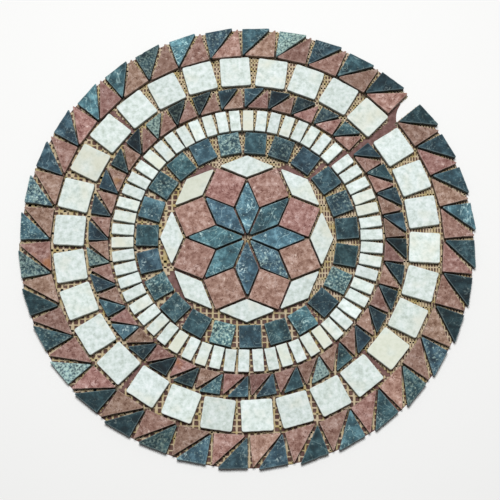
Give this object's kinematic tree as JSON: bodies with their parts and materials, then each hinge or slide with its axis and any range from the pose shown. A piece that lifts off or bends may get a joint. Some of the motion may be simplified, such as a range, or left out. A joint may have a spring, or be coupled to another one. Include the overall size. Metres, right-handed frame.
{
  "type": "mosaic panel",
  "caption": "Round tumbled-marble mosaic panel on backing net: a star flower inside rings of squares, bricks and triangles.",
  "frame": {"origin": "the middle of the flower, on the flat underside of the net, which the panel lies on", "axes": "+Z out of the tiles' faces; +Y towards the net section called top; +X towards the section called right"},
  "size_m": [0.5944, 0.5917, 0.01],
  "materials": {
    "white_marble": "matte",
    "pink_marble": "matte",
    "green_marble": "matte",
    "ring_tiles_on_net": "matte",
    "glued_net": "matte"
  },
  "bodies": {
    "root": {"net_section_top": "ring_tiles_on_net", "net_section_left": "ring_tiles_on_net", "net_section_bottom": "ring_tiles_on_net", "net_section_right": "ring_tiles_on_net", "white_square_01": "white_marble", "white_square_02": "white_marble", "white_square_03": "white_marble", "white_square_04": "white_marble", "white_square_05": "white_marble", "white_square_06": "white_marble", "white_square_07": "white_marble", "white_square_08": "white_marble", "white_square_09": "white_marble", "white_square_10": "white_marble", "white_square_11": "white_marble", "white_square_12": "white_marble", "white_square_13": "white_marble", "white_square_14": "white_marble", "white_square_15": "white_marble", "white_square_16": "white_marble", "white_square_17": "white_marble", "white_square_18": "white_marble", "white_square_19": "white_marble", "white_square_20": "white_marble", "white_square_21": "white_marble", "white_square_22": "white_marble", "white_square_23": "white_marble", "white_square_24": "white_marble", "white_square_25": "white_marble", "white_square_26": "white_marble", "white_square_27": "white_marble", "white_square_28": "white_marble", "white_square_29": "white_marble", "white_square_30": "white_marble", "green_star_rhomb_1": "green_marble", "pink_square_1": "pink_marble", "white_rhomb_1": "white_marble", "green_star_rhomb_2": "green_marble", "pink_square_2": "pink_marble", "white_rhomb_2": "white_marble", "green_star_rhomb_3": "green_marble", "pink_square_3": "pink_marble", "white_rhomb_3": "white_marble", "green_star_rhomb_4": "green_marble", "pink_square_4": "pink_marble", "white_rhomb_4": "white_marble", "green_star_rhomb_5": "green_marble", "pink_square_5": "pink_marble", "white_rhomb_5": "white_marble", "green_star_rhomb_6": "green_marble", "pink_square_6": "pink_marble", "white_rhomb_6": "white_marble", "green_star_rhomb_7": "green_marble", "pink_square_7": "pink_marble", "white_rhomb_7": "white_marble", "green_star_rhomb_8": "green_marble", "pink_square_8": "pink_marble", "white_rhomb_8": "white_marble"}
  },
  "joints": []
}
